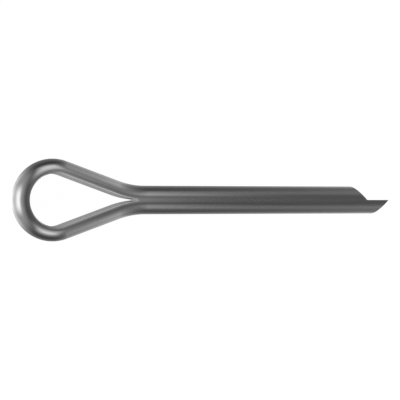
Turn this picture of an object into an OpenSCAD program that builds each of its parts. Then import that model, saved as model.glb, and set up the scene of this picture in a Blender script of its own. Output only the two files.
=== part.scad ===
// Cotter pin folded from one length of half-round wire, with mitred prongs of unequal length.
// The shank lies along +X, the eye lies in the XY plane and +Z is up through the eye.
// The origin is on the axis of the shank, where the flats of the prongs come together.

/* [Wire] */
// Diameter of the closed shank, the round that both half-round prongs make together
shank_d = 3; // [2:0.05:6]
// Gap between the flats of the closed prongs
flat_gap = 0.02; // [0.02:0.01:0.2]

/* [Eye] */
// Diameter of the opening inside the round end of the eye
eye_inner_d = 5.5; // [4.5:0.1:12]
// Angle between each straight leg of the eye and the shank
leg_angle = 19.7; // [14:0.1:30]
// Radius of the flat in the bend that turns each leg into line with the shank
bend_r = 10; // [5:0.5:20]

/* [Prongs] */
// Length of the short prong, from the origin to its point
short_prong_l = 25.5; // [10:0.5:80]
// Distance by which the point of the long prong passes the point of the short one
prong_step = 2.65; // [0.5:0.05:8]
// Angle between each mitred end and a square cut
mitre_angle = 42; // [0:1:60]

/* [Hidden] */
$fn = 96;

// Each straight leg runs this far into the rounds at its ends, so that they join in one solid
leg_lap = 0.05;
// Depth of the leg's surface below the surface of those rounds, which keeps it inside them there
leg_inset = 0.005;

shank_r = shank_d / 2;
eye_r = eye_inner_d / 2;
flat_y = flat_gap / 2;
// Straight length of each leg, between the round end of the eye and the bend
leg_l = (eye_r * cos(leg_angle) - flat_y - bend_r * (1 - cos(leg_angle))) / sin(leg_angle);
// Distance from the origin back to the centre of the round end of the eye
eye_x = (bend_r + eye_r) * sin(leg_angle) + leg_l * cos(leg_angle);

// Half-round section of the wire, its flat on x = 0 and its round side towards +x.
// An inset draws the whole outline in by that much.
module wire_section(inset = 0) {
  intersection() {
    translate([-flat_y, 0]) circle(r = shank_r - inset);
    translate([inset, -shank_d]) square([shank_d, 2 * shank_d]);
  }
}

// Round end of the eye about the Z axis, open towards +X, with the flat on the inside
module eye_round() {
  rotate_extrude(start = 90 - leg_angle, angle = 180 + 2 * leg_angle)
    translate([eye_r, 0]) wire_section();
}

// Straight leg on the +Y side, which leaves the round end of the eye at a tangent
module leg() {
  rotate([0, 0, 90 - leg_angle])
    translate([eye_r, leg_lap, 0])
      rotate([90, 0, 0])
        linear_extrude(height = leg_l + 2 * leg_lap) wire_section(leg_inset);
}

// Bend on the +Y side that turns the leg into line with the shank, with the flat on its outside
module bend() {
  translate([0, flat_y + bend_r, 0])
    rotate_extrude(start = -90 - leg_angle, angle = leg_angle)
      translate([bend_r, 0]) mirror([1, 0]) wire_section();
}

// Straight prong on the +Y side, mitred so that its point lies on the flat at x = reach
module prong(reach) {
  translate([0, flat_y, 0])
    difference() {
      rotate([90, 0, 90])
        linear_extrude(height = reach) wire_section();
      translate([reach, 0, -shank_d])
        rotate([0, 0, mitre_angle])
          translate([0, -shank_d, 0]) cube([2 * shank_d, 4 * shank_d, 2 * shank_d]);
    }
}

// One side of the pin, from the round end of the eye to the point of its prong
module side(reach) {
  translate([-eye_x, 0, 0]) leg();
  bend();
  prong(reach);
}

module cotter_pin() {
  color([0.46, 0.46, 0.47])
    union() {
      translate([-eye_x, 0, 0]) eye_round();
      side(short_prong_l);
      mirror([0, 1, 0]) side(short_prong_l + prong_step);
    }
}

cotter_pin();
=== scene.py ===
"""A cotter pin of half-round steel wire, lying on a white table in a soft studio."""
import math

import bpy
import numpy as np
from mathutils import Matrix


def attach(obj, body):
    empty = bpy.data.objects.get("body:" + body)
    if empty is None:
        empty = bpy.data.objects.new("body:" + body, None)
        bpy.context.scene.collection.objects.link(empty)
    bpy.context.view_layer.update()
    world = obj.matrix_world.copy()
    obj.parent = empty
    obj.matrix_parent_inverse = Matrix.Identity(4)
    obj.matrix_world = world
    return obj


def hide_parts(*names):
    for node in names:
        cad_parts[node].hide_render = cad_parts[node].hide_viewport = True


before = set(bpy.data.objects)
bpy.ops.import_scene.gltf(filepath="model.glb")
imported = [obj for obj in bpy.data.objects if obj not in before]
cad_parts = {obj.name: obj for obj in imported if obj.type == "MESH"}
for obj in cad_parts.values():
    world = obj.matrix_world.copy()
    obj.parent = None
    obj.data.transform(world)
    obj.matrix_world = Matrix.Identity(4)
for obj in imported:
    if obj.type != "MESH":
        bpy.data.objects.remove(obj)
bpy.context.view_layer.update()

MM = 0.001

# ---- sizes of the pin, in millimetres, as its solids have them ----
WIRE_R = 1.5          # radius of the round side, which is that of the closed shank
FLAT_Y = 0.01         # half the hairline between the flats of the closed prongs
EYE_R = 2.75          # radius of the flat round the eye
BEND_R = 10.0         # radius of the flat in the bend below the eye
LEG_TURN = math.radians(19.7)   # angle between each leg of the eye and the shank
SHORT_PRONG = 25.5    # from the start of the shank to the short point
LONG_PRONG = 28.15    # from the start of the shank to the long point
MITRE = math.radians(42.0)      # slope of the sheared ends


def linear(hex_colour):
    """The linear colour of an sRGB hex value, with an alpha of 1."""
    srgb = np.array([int(hex_colour[i:i + 2], 16) for i in (1, 3, 5)]) / 255
    low = srgb / 12.92
    high = ((srgb + 0.055) / 1.055) ** 2.4
    return (*np.where(srgb <= 0.04045, low, high).tolist(), 1.0)


def add(tree, kind, inputs=None, **settings):
    """Adds a node with its settings. An input takes a value, or a socket to link from."""
    made = tree.nodes.new(kind)
    for name, value in settings.items():
        setattr(made, name, value)
    for key, value in (inputs or {}).items():
        if isinstance(value, bpy.types.NodeSocket):
            tree.links.new(value, made.inputs[key])
        else:
            made.inputs[key].default_value = value
    return made


# ---- the line of the wire ----
# Lengths of the flat along each straight leg, through each bend and round the eye
LEG = (EYE_R * math.cos(LEG_TURN) - FLAT_Y - BEND_R * (1 - math.cos(LEG_TURN))) / math.sin(LEG_TURN)
BEND = BEND_R * LEG_TURN
EYE_TURN = math.pi + 2 * LEG_TURN
EYE = EYE_R * EYE_TURN
# Length and turn of each stretch of the flat, from the short point round the eye to the long one
STRETCHES = (
    (SHORT_PRONG, 0.0), (BEND, -LEG_TURN), (LEG, 0.0), (EYE, EYE_TURN),
    (LEG, 0.0), (BEND, -LEG_TURN), (LONG_PRONG, 0.0),
)
STEPS = (60, 48, 16, 150, 16, 48, 60)     # rings of the mesh in each stretch
# Distances along the wire at which each stretch begins, and at which the wire ends
KNOTS = np.cumsum([0.0] + [length for length, turn in STRETCHES])
SHORT_SHANK, LONG_SHANK, WIRE_L = KNOTS[1], KNOTS[-2], KNOTS[-1]


def wire_line(along):
    """Place and heading of the middle of the flat at each distance along the wire.

    Heading h grows evenly through each stretch. Where a stretch turns by t over a length l, the
    place is start + l / t * (sin h - sin h0, cos h0 - cos h). Where it is straight, the place is
    start + distance * (cos h0, sin h0).
    """
    place = np.zeros((*along.shape, 2))
    heading = np.zeros(along.shape)
    start, h0, begun = np.array([SHORT_PRONG, FLAT_Y]), math.pi, 0.0
    for number, (length, turn) in enumerate(STRETCHES):
        first, last = number == 0, number == len(STRETCHES) - 1
        here = ((along >= begun) | first) & ((along <= begun + length) | last)
        gone = along - begun
        h1, h = h0 + turn, h0 + turn * gone / length
        if turn:
            reach = length / turn
            there = start + reach * np.stack([np.sin(h) - np.sin(h0), np.cos(h0) - np.cos(h)], -1)
            end = start + reach * np.array([
                math.sin(h1) - math.sin(h0), math.cos(h0) - math.cos(h1)])
        else:
            way = np.array([math.cos(h0), math.sin(h0)])
            there = start + gone[..., None] * way
            end = start + length * way
        place[here] = there[here]
        heading[here] = h[here]
        start, h0, begun = end, h1, begun + length
    return place, heading


# ---- the section of the wire ----
FLAT_STEPS, CORNER_STEPS, ROUND_STEPS = 6, 8, 96
CHAMFER_A = math.radians(125.0)     # heading of a worn corner's own flat, from straight out
# Radius and straight of the corners: soft in the eye, worn to a narrow bright edge on the legs,
# and crisp where the prongs close to one round shank
EYE_EASE, EYE_CHAMFER = 0.1, 0.03
LEG_EASE, LEG_CHAMFER = 0.025, 0.1
SHANK_EASE, SHANK_CHAMFER = 0.003, 0.002
HAIRLINE = 0.0098     # how far each flat moves out along the shank, so that the prongs touch
FULLER = 0.033        # how far the wire of the eye and legs is fuller than a true half round
CROTCH = 1.0          # how far past the shank, into the legs, the flats stay closed
NOTCH = 0.05          # depth of the round notch in which the closed flats end
# Distances past the shank at which the corners begin to change, and over which they do
LEG_AT, LEG_OVER = CROTCH, 0.2
EYE_AT, EYE_OVER = 9.0, 2.0


def smooth(t):
    """0 below 0, 1 above 1, and 3 t^2 - 2 t^3 between."""
    t = np.clip(t, 0, 1)
    return t * t * (3 - 2 * t)


def half_round(ease, chamfer, closing):
    """Outline of the half-round wire and its normals, for each ring's corners and closing.

    The outline starts in the middle of the flat, at out = -closing, and runs up the flat, round
    the top corner, over the round side, round the lower corner and back up the flat. The round
    side is a circle of radius R about out = -FLAT_Y. A corner is an arc of radius e that touches
    the flat, a straight of length c that faces CHAMFER_A, and an arc of radius e that touches the
    round side. The second arc's middle is at out = e - closing + c sin(CHAMFER_A),
    height = sqrt((R - e)^2 - (out + FLAT_Y)^2), and the first arc's is c back along the straight.
    Gives out, height and the two parts of the normal, with a row for each ring.
    """
    e, c, flat = ease[:, None], chamfer[:, None], -closing[:, None]
    out_1, out_2 = e + flat, e + flat + c * math.sin(CHAMFER_A)
    up_2 = np.sqrt((WIRE_R - e) ** 2 - (out_2 + FLAT_Y) ** 2)
    up_1 = up_2 + c * math.cos(CHAMFER_A)
    touch = np.arctan2(up_2, out_2 + FLAT_Y)
    t = np.linspace(0, 1, FLAT_STEPS + 1)[:-1]
    flat_up = [flat + 0 * t, up_1 * t, -1 + 0 * (e + t), 0 * (e + t)]
    t = np.linspace(0, 1, CORNER_STEPS + 1)
    a_1 = math.pi + (CHAMFER_A - math.pi) * t + 0 * e
    a_2 = CHAMFER_A + (touch - CHAMFER_A) * t[:-1]
    corner = [
        np.concatenate([out_1 + e * np.cos(a_1), out_2 + e * np.cos(a_2)], axis=1),
        np.concatenate([up_1 + e * np.sin(a_1), up_2 + e * np.sin(a_2)], axis=1),
        np.concatenate([np.cos(a_1), np.cos(a_2)], axis=1),
        np.concatenate([np.sin(a_1), np.sin(a_2)], axis=1),
    ]
    a = touch * np.linspace(1, -1, ROUND_STEPS + 1)
    over = [WIRE_R * np.cos(a) - FLAT_Y, WIRE_R * np.sin(a), np.cos(a), np.sin(a)]
    upside_down = (1, -1, 1, -1)
    lower_corner = [sign * part[:, ::-1] for sign, part in zip(upside_down, corner)]
    flat_down = [sign * part[:, :0:-1] for sign, part in zip(upside_down, flat_up)]
    pieces = zip(flat_up, corner, over, lower_corner, flat_down)
    return [np.concatenate(parts, axis=1) for parts in pieces]


def worn_outlines(along):
    """Outline of the wire at each distance along it, its normals, and their lean along the wire.

    Corners change by smooth() from the shank's to the legs' and the eye's. At a distance d past
    the shank, half the gap between the flats is gap = FLAT_Y + d^2 / (2 BEND_R), and the flat
    moves out by gap - max((gap - FULLER) r, FLAT_Y - HAIRLINE), where r grows from 0 to 1 in a
    quarter circle over the notch. Where the outline grows or shrinks along the wire, its normals
    lean by -(n_out * slope of out + n_up * slope of height).
    """
    from_shank = np.clip(np.minimum(along - SHORT_SHANK, LONG_SHANK - along), 0, None)
    in_leg = smooth((from_shank - LEG_AT) / LEG_OVER)
    in_eye = smooth((from_shank - EYE_AT) / EYE_OVER)
    settings = ((SHANK_EASE, LEG_EASE, EYE_EASE), (SHANK_CHAMFER, LEG_CHAMFER, EYE_CHAMFER))
    ease, chamfer = (
        shank + (leg - shank) * in_leg + (eye - leg) * in_eye for shank, leg, eye in settings
    )
    gap = FLAT_Y + from_shank ** 2 / (2 * BEND_R)
    rounding = np.sqrt(1 - np.clip(1 - (from_shank - CROTCH) / NOTCH, 0, 1) ** 2)
    closing = gap - np.maximum((gap - FULLER) * rounding, FLAT_Y - HAIRLINE)
    out, height, n_out, n_up = half_round(ease, chamfer, closing)
    lean = -(n_out * np.gradient(out, along, axis=0) + n_up * np.gradient(height, along, axis=0))
    return out, height, n_out, n_up, lean


# ---- the mesh of the wire ----
SHEAR_L = 5.0         # stretch over which the rings lean into the slope of the sheared end
CAP_RINGS = 8         # even rings in which a sheared end is drawn in to its middle
NOTCH_RINGS, NOTCH_LEAD = 25, 0.002
UV_PER_MM = 0.1       # the map runs this far along the wire and round it for each millimetre


def ring_distances():
    """Distances of the mesh's rings along the wire: even in each stretch, close at the notch.

    One more ring lies NOTCH_LEAD before each notch, where the normals turn sharply.
    """
    even = [np.linspace(KNOTS[i], KNOTS[i + 1], n + 1)[:-1] for i, n in enumerate(STEPS)]
    notch = CROTCH + np.append(-NOTCH_LEAD, np.linspace(0, 3 * NOTCH, NOTCH_RINGS))
    return np.unique(np.concatenate([*even, [WIRE_L], SHORT_SHANK + notch, LONG_SHANK - notch]))


def quad_corners(grid, lap=0):
    """What a grid holds at the four corners of each quad between its rows.

    The grid closes round: the column after the last is the first, with lap added.
    """
    after = np.concatenate([grid[:, 1:], grid[:, :1] + lap], axis=1)
    return np.stack([grid[:-1], after[:-1], after[1:], grid[1:]], axis=2)


def sheared_end(rim, rim_ids, first_id, turned):
    """The flat face that closes a rim: its new points, its quads and its fan of triangles.

    The rim is drawn in to its middle in even rings, middle + k (rim - middle) for k from 1 to 0.
    """
    columns = len(rim)
    middle = rim.mean(axis=0)
    scale = np.linspace(1, 0, CAP_RINGS + 1)[1:-1]
    inner = middle + scale[:, None, None] * (rim - middle)
    pole = first_id + (CAP_RINGS - 1) * columns
    ids = np.vstack([rim_ids, np.arange(first_id, pole).reshape(CAP_RINGS - 1, columns)])
    quads = quad_corners(ids).reshape(-1, 4)
    fan = np.stack([ids[-1], np.roll(ids[-1], -1), np.full(columns, pole)], -1)
    if turned:
        quads, fan = quads[:, ::-1], fan[:, ::-1]
    return np.concatenate([inner.reshape(-1, 3), middle[None]]), quads, fan


def swept_wire():
    """The whole pin: the half-round outline carried along the wire's line.

    A point at (out, height) of the outline at distance s is line(s') + out * side(s'), with its
    height as z, where side is the heading turned a quarter clockwise, and s' = s + d near the
    short point and s - d near the long one, where d = (out + HAIRLINE) * tan(MITRE) * lean and
    lean runs from 1 at the point to 0 at SHEAR_L.
    """
    along = ring_distances()
    out, height, n_out, n_up, n_ahead = worn_outlines(along)
    lean_in = np.clip(1 - along / SHEAR_L, 0, 1)[:, None]
    lean_out = np.clip(1 - (WIRE_L - along) / SHEAR_L, 0, 1)[:, None]
    s = along[:, None] + math.tan(MITRE) * (out + HAIRLINE) * (lean_in - lean_out)
    place, heading = wire_line(s)
    ahead = np.stack([np.cos(heading), np.sin(heading)], -1)
    side = np.stack([np.sin(heading), -np.cos(heading)], -1)
    points = np.concatenate([place + out[..., None] * side, height[..., None]], -1)
    level = n_out[..., None] * side + n_ahead[..., None] * ahead
    normals = np.concatenate([level, n_up[..., None]], -1)
    normals /= np.linalg.norm(normals, axis=-1, keepdims=True)

    # Distance round each ring from the middle of the flat, and the whole way round
    girth = np.zeros(out.shape)
    girth[:, 1:] = np.cumsum(np.hypot(np.diff(out, axis=1), np.diff(height, axis=1)), axis=1)
    whole = girth[:, -1:] + np.hypot(out[:, -1:] - out[:, :1], height[:, -1:] - height[:, :1])

    rings, columns = out.shape
    ids = np.arange(rings * columns).reshape(rings, columns)
    sides = quad_corners(ids).reshape(-1, 4)
    side_uv = np.stack([quad_corners(s), quad_corners(girth, whole)], -1)
    verts, faces = [points.reshape(-1, 3)], [sides]
    corner_normals = [quad_corners(normals).reshape(-1, 3)]
    count = ids.size
    for ring, way in ((0, 1), (rings - 1, -1)):
        new, quads, fan = sheared_end(points[ring], ids[ring], count, way > 0)
        facing = np.array([math.cos(MITRE), way * math.sin(MITRE), 0.0])
        verts.append(new)
        faces += [quads, fan]
        corner_normals.append(np.tile(facing, (quads.size + fan.size, 1)))
        count += len(new)
    verts = np.concatenate(verts)
    end_uv = [verts[part.ravel()][:, [1, 2]] for part in faces[1:]]
    face_count = sum(len(part) for part in faces)
    cut = np.arange(face_count) >= len(sides)
    rims = np.full(len(verts), -1)
    rims[ids[0]] = 0
    rims[ids[-1]] = 1
    corner_uv = np.concatenate([side_uv.reshape(-1, 2), *end_uv])
    return verts, faces, np.concatenate(corner_normals), corner_uv, cut, rims


def mesh_piece(name, verts, faces, corner_normals, corner_uv, cut, rims):
    """A mesh object from whole arrays in millimetres, with its own normals and UV map.

    cut marks the faces of the sheared ends. rims numbers the vertices of each crisp rim and is -1
    elsewhere.
    """
    sizes = np.concatenate([np.full(len(part), part.shape[1]) for part in faces]).astype(np.int32)
    corners = np.concatenate([part.ravel() for part in faces]).astype(np.int32)
    starts = np.concatenate([[0], np.cumsum(sizes)[:-1]]).astype(np.int32)
    mesh = bpy.data.meshes.new(name)
    mesh.vertices.add(len(verts))
    mesh.vertices.foreach_set("co", (verts * MM).astype(np.float32).ravel())
    mesh.loops.add(len(corners))
    mesh.loops.foreach_set("vertex_index", corners)
    mesh.polygons.add(len(sizes))
    mesh.polygons.foreach_set("loop_start", starts)
    mesh.polygons.foreach_set("use_smooth", np.ones(len(sizes), dtype=bool))
    mesh.update(calc_edges=True)
    uv = mesh.uv_layers.new(name="wire")
    uv.data.foreach_set("uv", (corner_uv * UV_PER_MM).astype(np.float32).ravel())
    mark = mesh.attributes.new("sheared", "FLOAT", "FACE")
    mark.data.foreach_set("value", cut.astype(np.float32))
    ends = np.empty(2 * len(mesh.edges), dtype=np.int32)
    mesh.edges.foreach_get("vertices", ends)
    rim_of = rims[ends.reshape(-1, 2)]
    crisp = (rim_of[:, 0] >= 0) & (rim_of[:, 0] == rim_of[:, 1])
    mesh.edges.foreach_set("use_edge_sharp", crisp)
    mesh.normals_split_custom_set(corner_normals.astype(np.float32))
    piece = bpy.data.objects.new(name, mesh)
    bpy.context.scene.collection.objects.link(piece)
    return piece


pin = mesh_piece("pin_wire", *swept_wire())
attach(pin, "root")
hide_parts("cotter_pin")


def empty_tree(holder):
    """The node tree of a material or world, cleared to build in."""
    holder.use_nodes = True
    holder.node_tree.nodes.clear()
    return holder.node_tree


# ---- bright drawn steel wire: it mirrors the room softly, streaked along by the drawing die ----
DULL, BRIGHT = "#CDCDCD", "#D9D9D9"
DULL_AT, BRIGHT_AT = 0.35, 0.65       # where in the noise the dull and the bright tone are reached
DULL_ROUGHNESS, BRIGHT_ROUGHNESS, SHEARED_ROUGHNESS = 0.25, 0.22, 0.38
HANDLING = 0.3        # share of the slow changes in the tone, beside the marks
MARK_DEPTH = 0.01 * MM
steel = bpy.data.materials.new("bright_drawn_steel")
tree = empty_tree(steel)
uv_map = add(tree, "ShaderNodeUVMap", uv_map="wire").outputs["UV"]
# Die marks are about 0.1 mm apart round the wire and run on for 15 mm, so the sides look drawn.
# Real ones are finer than this and would not show.
die_marks = add(tree, "ShaderNodeMapping", {"Vector": uv_map, "Scale": (0.6, 90.0, 1.0)})
streaks = add(tree, "ShaderNodeTexNoise", {
    "Vector": die_marks.outputs[0], "Scale": 1.0, "Detail": 4.0, "Roughness": 0.6})
# Shear marks run up and down the cut ends, about 0.2 mm apart
cut_marks = add(tree, "ShaderNodeMapping", {"Vector": uv_map, "Scale": (66.0, 3.0, 1.0)})
grooves = add(tree, "ShaderNodeTexNoise", {
    "Vector": cut_marks.outputs[0], "Scale": 1.0, "Detail": 3.0, "Roughness": 0.5})
sheared = add(tree, "ShaderNodeAttribute", attribute_name="sheared").outputs["Fac"]
marks = add(tree, "ShaderNodeMix", {
    "Factor": sheared, "A": streaks.outputs["Fac"], "B": grooves.outputs["Fac"]},
    data_type="FLOAT").outputs[0]
# Slow changes of 2 to 3 mm in how bright the drawn sides are, as from handling and oil
handled = add(tree, "ShaderNodeMapping", {"Vector": uv_map, "Scale": (3.5, 6.0, 1.0)})
clouds = add(tree, "ShaderNodeTexNoise", {
    "Vector": handled.outputs[0], "Scale": 1.0, "Detail": 2.0})
drawn = add(tree, "ShaderNodeMix", {
    "Factor": HANDLING, "A": marks, "B": clouds.outputs["Fac"]}, data_type="FLOAT").outputs[0]
tone = add(tree, "ShaderNodeValToRGB", {"Fac": drawn})
for element, place, colour in zip(
        tone.color_ramp.elements, (DULL_AT, BRIGHT_AT), (DULL, BRIGHT)):
    element.position = place
    element.color = linear(colour)
polish = add(tree, "ShaderNodeMapRange", {
    "Value": drawn, "From Min": DULL_AT, "From Max": BRIGHT_AT,
    "To Min": DULL_ROUGHNESS, "To Max": BRIGHT_ROUGHNESS})
# The cut ends are duller than the sides, so they show as faces of their own
rough = add(tree, "ShaderNodeMix", {
    "Factor": sheared, "A": polish.outputs["Result"], "B": SHEARED_ROUGHNESS}, data_type="FLOAT")
bump = add(tree, "ShaderNodeBump", {"Height": marks, "Strength": 0.05, "Distance": MARK_DEPTH})
shader = add(tree, "ShaderNodeBsdfPrincipled", {
    "Base Color": tone.outputs["Color"], "Metallic": 1.0, "Roughness": rough.outputs[0],
    "Normal": bump.outputs["Normal"]})
add(tree, "ShaderNodeOutputMaterial", {"Surface": shader.outputs["BSDF"]})
pin.data.materials.append(steel)


def staged_sheet(name, x_range, y_range, z):
    """A level sheet of the set, in metres, which casts no shadow and isn't part of the object."""
    sheet = bpy.data.meshes.new(name)
    corners = [(x_range[i], y_range[j], z) for i, j in ((0, 0), (1, 0), (1, 1), (0, 1))]
    sheet.from_pydata(corners, [], [(0, 1, 2, 3)])
    made = bpy.data.objects.new(name, sheet)
    bpy.context.scene.collection.objects.link(made)
    made.visible_shadow = False
    return made


# ---- table: white paper that glows to white by itself and takes only a faint shadow ----
TABLE_HALF = 1.5      # metres
TABLE_GLOW, TABLE_PAINT = 0.97, 0.15
table = staged_sheet("table", (-TABLE_HALF, TABLE_HALF), (-TABLE_HALF, TABLE_HALF), -WIRE_R * MM)
table.visible_glossy = False
paper = bpy.data.materials.new("white_table")
tree = empty_tree(paper)
paint = add(tree, "ShaderNodeBsdfDiffuse", {"Color": (TABLE_PAINT, TABLE_PAINT, TABLE_PAINT, 1)})
glow = add(tree, "ShaderNodeEmission", {"Color": (1, 1, 1, 1), "Strength": TABLE_GLOW})
both = add(tree, "ShaderNodeAddShader", {0: paint.outputs[0], 1: glow.outputs[0]})
add(tree, "ShaderNodeOutputMaterial", {"Surface": both.outputs[0]})
table.data.materials.append(paper)

# ---- studio: a dim room with soft-sided white walls and dark gaps between them ----
studio = bpy.data.worlds.new("studio")
bpy.context.scene.world = studio
tree = empty_tree(studio)
facing = add(tree, "ShaderNodeTexCoord")
axes = add(tree, "ShaderNodeSeparateXYZ", {0: facing.outputs["Generated"]})
height_angle = add(tree, "ShaderNodeMath", {0: axes.outputs["Z"]}, operation="ARCSINE")
compass = add(tree, "ShaderNodeMath", {
    0: axes.outputs["Y"], 1: axes.outputs["X"]}, operation="ARCTAN2").outputs[0]
upward = add(tree, "ShaderNodeMapRange", {
    "Value": height_angle.outputs[0],
    "From Min": math.radians(-90), "From Max": math.radians(90)}).outputs["Result"]


def wall(light, middle, half_width, soft, profile):
    """Adds a soft-sided white wall to the light so far.

    middle, half_width and soft are compass angles in degrees. profile lists pairs of an angle up
    from level and the light there, with even slopes between.
    """
    off = add(tree, "ShaderNodeMath", {
        0: compass, 1: math.radians(middle - 180)}, operation="SUBTRACT")
    turn = add(tree, "ShaderNodeMath", {
        0: off.outputs[0], 1: 0.0, 2: 2 * math.pi}, operation="WRAP")
    centred = add(tree, "ShaderNodeMath", {0: turn.outputs[0], 1: math.pi}, operation="SUBTRACT")
    away = add(tree, "ShaderNodeMath", {0: centred.outputs[0]}, operation="ABSOLUTE")
    across = add(tree, "ShaderNodeMapRange", {
        "Value": away.outputs[0], "From Min": math.radians(half_width + soft / 2),
        "From Max": math.radians(half_width - soft / 2)}, interpolation_type="SMOOTHSTEP")
    peak = max(level for angle, level in profile)
    ramp = add(tree, "ShaderNodeValToRGB", {"Fac": upward})
    while len(ramp.color_ramp.elements) < len(profile):
        ramp.color_ramp.elements.new(0.5)
    for element, (angle, level) in zip(ramp.color_ramp.elements, profile):
        element.position = (angle + 90) / 180
        element.color = (level / peak, level / peak, level / peak, 1)
    lit = add(tree, "ShaderNodeMath", {
        0: across.outputs["Result"], 1: ramp.outputs["Color"]}, operation="MULTIPLY")
    summed = add(tree, "ShaderNodeMath", {
        0: lit.outputs[0], 1: peak, 2: light}, operation="MULTIPLY_ADD")
    return summed.outputs[0]


# The room itself, dark at eye level and above, with a grey floor
light = wall(0.0, 0, 200, 10, [
    (-90, 0.3), (-75, 0.29), (-60, 0.15), (-40, 0.14), (-20, 0.04), (0, 0.0), (50, 0.0),
    (90, 0.04)])
# A bright low wall behind the eye, between two dimmer ones
light = wall(light, 180, 22, 25, [
    (-70, 1.25), (-45, 0.65), (-15, 0.7), (0, 1.4), (10, 1.55), (20, 1.5), (35, 0.3), (50, 0.07)])
for middle in (141, -141):
    light = wall(light, middle, 18, 42, [
        (-60, 0.8), (-20, 0.4), (10, 0.4), (35, 0.32), (50, 0.07)])
# Ahead of the points, a dim middle that lets the sheared ends show, then two bright walls, then
# two dimmer strips
light = wall(light, 0, 28, 16, [(-60, 0.2), (-30, 0.25), (0, 0.25), (30, 0.15), (50, 0.1)])
for middle in (39, -39):
    light = wall(light, middle, 11, 16, [
        (-60, 0.04), (-30, 1.1), (-15, 0.95), (0, 1.9), (30, 0.3), (50, 0.1)])
for middle in (58, -58):
    light = wall(light, middle, 4, 30, [
        (-60, 0.4), (-30, 0.16), (0, 0.335), (30, 0.265), (50, 0.0)])
# Walls square to the shank, the near one brighter, which light the worn edges of the legs
light = wall(light, 90, 20, 8, [(-20, 0.05), (10, 0.03), (25, 0.52), (40, 0.06), (55, 0.18)])
light = wall(light, -90, 20, 10, [
    (-60, 0.1), (-20, 0.0), (10, 0.14), (25, 0.66), (40, 0.21), (55, 0.1)])
# The camera sees plain white in place of the room
rays = add(tree, "ShaderNodeLightPath")
plain = add(tree, "ShaderNodeMath", {
    0: rays.outputs["Is Camera Ray"], 1: rays.outputs["Is Transmission Ray"]},
    operation="MAXIMUM")
seen = add(tree, "ShaderNodeMix", {
    "Factor": plain.outputs[0], "A": light, "B": 1.0}, data_type="FLOAT")
sky = add(tree, "ShaderNodeBackground", {"Color": (1, 1, 1, 1), "Strength": seen.outputs[0]})
add(tree, "ShaderNodeOutputWorld", {"Surface": sky.outputs[0]})

# ---- softboxes close above the pin ----
BOX_Z = 80 * MM


def softbox(name, x_range, y_range, soft_x, soft_y, strength):
    """A lit sheet over the table with soft edges, in millimetres. It is hidden from the camera.

    It is half as bright at the ends of x_range and y_range, and fades over soft_x and soft_y.
    """
    ranges = ((*x_range, soft_x), (*y_range, soft_y))
    spans = [((low - soft / 2) * MM, (high + soft / 2) * MM) for low, high, soft in ranges]
    box = staged_sheet(name, *spans, BOX_Z)
    box.visible_camera = False
    cloth = bpy.data.materials.new(name + "_cloth")
    tree = empty_tree(cloth)
    where = add(tree, "ShaderNodeTexCoord")
    at = add(tree, "ShaderNodeSeparateXYZ", {0: where.outputs["Object"]})
    lit = strength
    for axis, (low, high, soft) in zip("XY", ranges):
        for edge, inward in ((low, 1), (high, -1)):
            step = add(tree, "ShaderNodeMapRange", {
                "Value": at.outputs[axis], "From Min": (edge - inward * soft / 2) * MM,
                "From Max": (edge + inward * soft / 2) * MM}, interpolation_type="SMOOTHSTEP")
            lit = add(tree, "ShaderNodeMath", {
                0: step.outputs["Result"], 1: lit}, operation="MULTIPLY").outputs[0]
    shine = add(tree, "ShaderNodeEmission", {"Color": (1, 1, 1, 1), "Strength": lit})
    clear = add(tree, "ShaderNodeBsdfTransparent", {"Color": (1, 1, 1, 1)})
    both = add(tree, "ShaderNodeAddShader", {0: shine.outputs[0], 1: clear.outputs[0]})
    add(tree, "ShaderNodeOutputMaterial", {"Surface": both.outputs[0]})
    box.data.materials.append(cloth)


softbox("softbox_far", (-40, 41), (52, 147), 46, 64, 0.75)
softbox("softbox_near", (-40, 34), (-147, -62), 50, 64, 0.75)
softbox("softbox_middle", (12, 21), (-32, 32), 30, 30, 0.68)
softbox("softbox_rear", (-107, -60), (-50, 50), 42, 42, 0.21)

# ---- camera: a long lens, a little to the eye's side of straight above ----
VIEW_TILT = math.radians(20.85)
AIM_X, DISTANCE = 6.262, 142.1      # millimetres
camera_data = bpy.data.cameras.new("camera")
camera_data.lens = 120
camera_data.sensor_width = 36
camera_data.clip_start = 0.01
camera_data.clip_end = 10
camera = bpy.data.objects.new("camera", camera_data)
bpy.context.scene.collection.objects.link(camera)
camera.location = (
    (AIM_X - DISTANCE * math.sin(VIEW_TILT)) * MM, 0, DISTANCE * math.cos(VIEW_TILT) * MM)
camera.rotation_euler = (0, -VIEW_TILT, 0)
bpy.context.scene.camera = camera
bpy.context.scene.view_settings.view_transform = "Standard"
